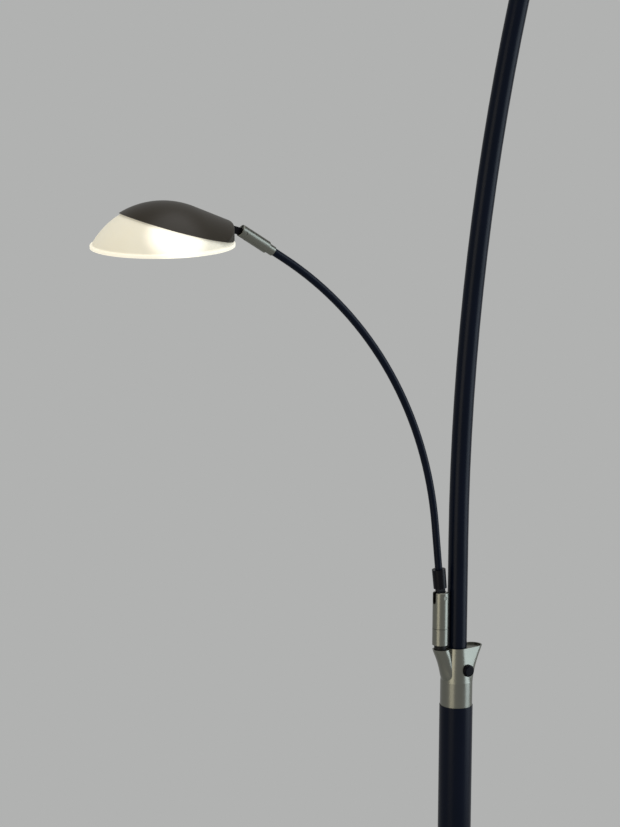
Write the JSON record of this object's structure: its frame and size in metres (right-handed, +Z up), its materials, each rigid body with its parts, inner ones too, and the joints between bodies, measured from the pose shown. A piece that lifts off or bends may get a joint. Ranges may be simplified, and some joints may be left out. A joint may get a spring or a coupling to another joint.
{
  "type": "torchiere floor lamp with reading light",
  "caption": "Tall floor lamp: a round weighted base and post carry a bowed tube with an upward glass bowl light and a slim arm with a small swivelling reading light.",
  "frame": {"origin": "centre of the round base's underside, on the post's axis", "axes": "+Z up along the post; the reading arm leans towards -X and the torchiere tube bows towards +X; the push button faces -Y"},
  "size_m": [0.7833, 0.2814, 1.8109],
  "materials": {
    "pad_rubber": "matt black rubber",
    "cast_iron": "rough grey casting",
    "dark_enamel": "satin blue-black enamel",
    "driver_case": "matt off-white plastic",
    "zinc_steel": "zinc plated steel",
    "turned_steel": "turned steel",
    "satin_nickel": "satin nickel with a warm tint",
    "black_knuckle": "satin black enamel",
    "black_plastic": "matt black plastic",
    "button_black": "gloss black plastic",
    "bronze_shell": "satin dark bronze enamel",
    "frosted_glass": "frosted cream-white glass",
    "gasket_rubber": "soft white silicone",
    "raw_aluminium": "plain aluminium",
    "led_board": "white board",
    "opal_lens": "opal plastic"
  },
  "bodies": {
    "stand": {"base_cover": "dark_enamel", "base_pad": "pad_rubber", "base_weight": "cast_iron", "cable_gland": "pad_rubber", "collar_body": "satin_nickel", "collar_screws": "zinc_steel", "collar_spigot": "turned_steel", "driver_screws": "zinc_steel", "foot_nut": "zinc_steel", "foot_ring": "dark_enamel", "foot_washer": "zinc_steel", "led_driver": "driver_case", "post_coupler": "turned_steel", "post_lower": "dark_enamel", "post_nipple": "zinc_steel", "post_plug": "turned_steel", "post_upper": "dark_enamel", "tube_nipple": "zinc_steel", "tube_nut": "zinc_steel", "tube_plug": "turned_steel", "dimmer_module": "driver_case", "torch_tube": "dark_enamel", "torch_socket": "satin_nickel", "torch_clip": "turned_steel", "arm_bush": "black_plastic", "arm_socket": "satin_nickel", "arm_clip": "turned_steel"},
    "button": {"dimmer_button": "button_black", "dimmer_plunger": "button_black"},
    "arm_knuckle": {"arm_barrel": "satin_nickel", "arm_pin": "satin_nickel"},
    "reading_arm": {"arm_ferrule": "black_knuckle", "arm_rod": "dark_enamel", "read_socket": "satin_nickel", "read_clip": "turned_steel"},
    "reading_knuckle": {"read_barrel": "satin_nickel", "read_pin": "satin_nickel"},
    "reading_head": {"read_cap": "bronze_shell", "read_gasket": "gasket_rubber", "read_glass": "frosted_glass", "read_heat_sink": "raw_aluminium", "read_led_board": "led_board", "read_lens": "opal_lens", "read_screw": "turned_steel", "read_tongue": "black_knuckle"},
    "torch_knuckle": {"torch_barrel": "satin_nickel", "torch_pin": "satin_nickel"},
    "torch_head": {"torch_cap": "bronze_shell", "torch_gasket": "gasket_rubber", "torch_glass": "frosted_glass", "torch_heat_sink": "raw_aluminium", "torch_led_board": "led_board", "torch_lens": "opal_lens", "torch_screw": "turned_steel", "torch_tongue": "black_knuckle"}
  },
  "joints": [
    {"name": "arm_swivel", "type": "hinge", "parent": "stand", "child": "arm_knuckle", "pos_m": [-0.021, 0, 1.0592], "axis": [0, 0, 1], "range_deg": [-110, 110]},
    {"name": "arm_tilt", "type": "hinge", "parent": "arm_knuckle", "child": "reading_arm", "pos_m": [-0.021, 0, 1.0923], "axis": [0, -1, 0], "range_deg": [-4, 44]},
    {"name": "reading_swivel", "type": "hinge", "parent": "reading_arm", "child": "reading_knuckle", "pos_m": [-0.22667, 0, 1.45519], "axis": [-0.866, 0, 0.5], "range_deg": [-150, 150]},
    {"name": "reading_tilt", "type": "hinge", "parent": "reading_knuckle", "child": "reading_head", "pos_m": [-0.25118, 0, 1.46934], "axis": [0.073, 0.9893, 0.1265], "range_deg": [-45, 60]},
    {"name": "torch_swivel", "type": "hinge", "parent": "stand", "child": "torch_knuckle", "pos_m": [0.0798, 0, 1.75971], "axis": [0.2487, 0, 0.9686], "range_deg": [-160, 160]},
    {"name": "torch_tilt", "type": "hinge", "parent": "torch_knuckle", "child": "torch_head", "pos_m": [0.08901, 0, 1.79555], "axis": [0, -1, 0], "range_deg": [-30, 30]},
    {"name": "dimmer_press", "type": "slide", "parent": "stand", "child": "button", "axis": [0, 1, 0], "range_m": [0, 0.001], "stiffness_N_per_m": 600, "springref_m": -0.001}
  ]
}
